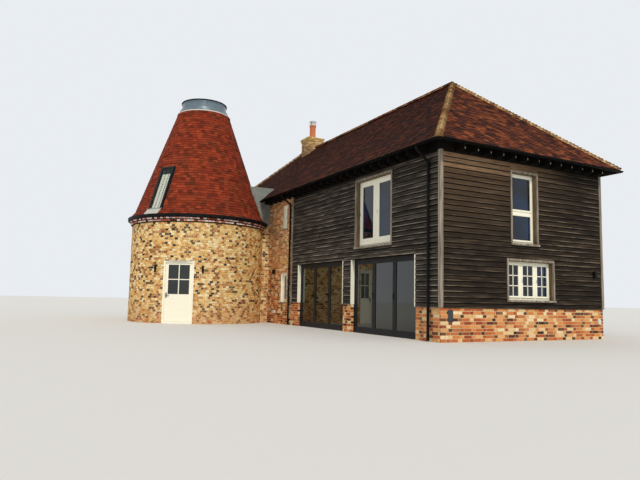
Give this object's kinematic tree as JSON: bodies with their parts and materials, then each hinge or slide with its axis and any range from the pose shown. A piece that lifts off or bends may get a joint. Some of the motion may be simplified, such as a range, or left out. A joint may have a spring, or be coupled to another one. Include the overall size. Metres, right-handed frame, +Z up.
{
  "type": "converted oast house",
  "caption": "Long hipped barn, boarded over a brick plinth, joined to a round brick kiln under a truncated conical tile roof with a glazed drum; the kiln door swings.",
  "frame": {"origin": "underside of the ground floor, under the middle of the barn", "axes": "+X along the barn towards its boarded end, +Z up, the long front wall and the kiln face -Y"},
  "size_m": [16.65, 10.9419, 8.6798],
  "materials": {
    "brick_red": "rough brick",
    "brick_yellow": "rough stock brick",
    "concrete": "smooth screed",
    "boards": "weathered black boarding",
    "timber_grey": "silvered timber",
    "timber_brown": "stained timber",
    "paint_cream": "satin cream paint on timber",
    "grey_metal": "matt anthracite powder coat",
    "black_metal": "satin black",
    "tile_dark": "plain clay tile",
    "tile_red": "plain clay tile",
    "tile_ochre": "lichened clay tile",
    "clay_pot": "fired clay",
    "lead": "dull lead",
    "zinc": "dull zinc",
    "steel": "dull steel",
    "glass": "clear",
    "pale_plastic": "matt"
  },
  "bodies": {
    "building": {"ground_floors": "concrete", "upper_floor": "timber_grey", "end_plinth": "brick_red", "side_plinths": "brick_red", "front_boarded_wall": "boards", "end_boarded_wall": "boards", "rear_boarded_wall": "boards", "front_brick_wall": "brick_red", "window_arch": "brick_red", "rear_brick_wall": "brick_red", "far_end_wall": "brick_red", "corner_boards": "timber_grey", "roof_front": "tile_dark", "roof_rear": "tile_dark", "roof_hips": "tile_dark", "ridge_tiles": "tile_dark", "hip_tiles": "tile_ochre", "rafter_feet": "timber_grey", "barn_gutters": "black_metal", "downpipes": "black_metal", "casement_frames": "paint_cream", "casement_sashes": "paint_cream", "casement_glass": "glass", "window_surrounds": "timber_brown", "window_sills": "paint_cream", "folding_frames": "grey_metal", "folding_leaves": "grey_metal", "folding_glass": "glass", "door_linings": "paint_cream", "chimney_stack": "brick_yellow", "chimney_apron": "lead", "chimney_pot": "clay_pot", "chimney_cowl": "steel", "kiln_wall_a": "brick_yellow", "kiln_wall_b": "brick_yellow", "kiln_door_head": "brick_yellow", "link_walls": "brick_yellow", "kiln_corbels": "brick_red", "kiln_roof_a": "tile_red", "kiln_roof_b": "tile_red", "kiln_gutter": "black_metal", "lantern_drum": "zinc", "lantern_collar": "lead", "lantern_rim": "black_metal", "lantern_glass": "glass", "roof_window_bars": "grey_metal", "roof_window_pane": "glass", "roof_window_apron": "lead", "lead_link": "lead", "kiln_door_frame": "paint_cream", "kiln_hinge_pins": "steel", "wall_lights": "black_metal", "house_plate": "grey_metal", "outlet_boxes": "pale_plastic"},
    "kiln_door": {"kiln_door_leaf": "paint_cream", "kiln_door_glass": "glass", "kiln_door_handles": "black_metal", "kiln_hinge_leaves": "steel"}
  },
  "joints": [
    {"name": "kiln_door_hinge", "type": "hinge", "parent": "building", "child": "kiln_door", "pos_m": [-1.00114, -5.90751, 0.065], "axis": [0, 0, -1], "range_deg": [0, 90]}
  ]
}
